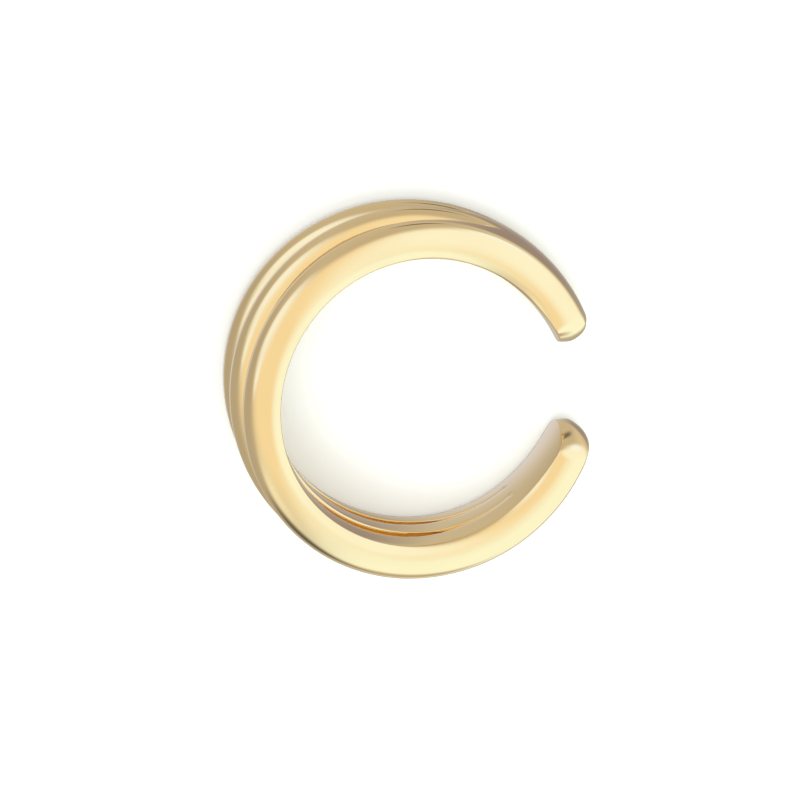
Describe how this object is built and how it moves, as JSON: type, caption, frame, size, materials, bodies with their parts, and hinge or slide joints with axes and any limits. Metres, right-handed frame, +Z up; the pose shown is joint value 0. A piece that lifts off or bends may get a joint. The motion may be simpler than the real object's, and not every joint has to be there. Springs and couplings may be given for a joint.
{
  "type": "ear cuff",
  "caption": "Open C-shaped ear cuff of polished gold-plated metal: slim bands fan out at the back and flow together in smooth rounded ends.",
  "frame": {"origin": "centre of the bounding box, at the level of the surface that the cuff rests on", "axes": "+Z up as the cuff lies on its side, +X towards the gap between its two ends"},
  "size_m": [0.0118, 0.012, 0.0058],
  "materials": {
    "gold_plate": "polished pale yellow gold plate on cast brass"
  },
  "bodies": {
    "root": {"triple_band_cuff": "gold_plate"}
  },
  "joints": []
}
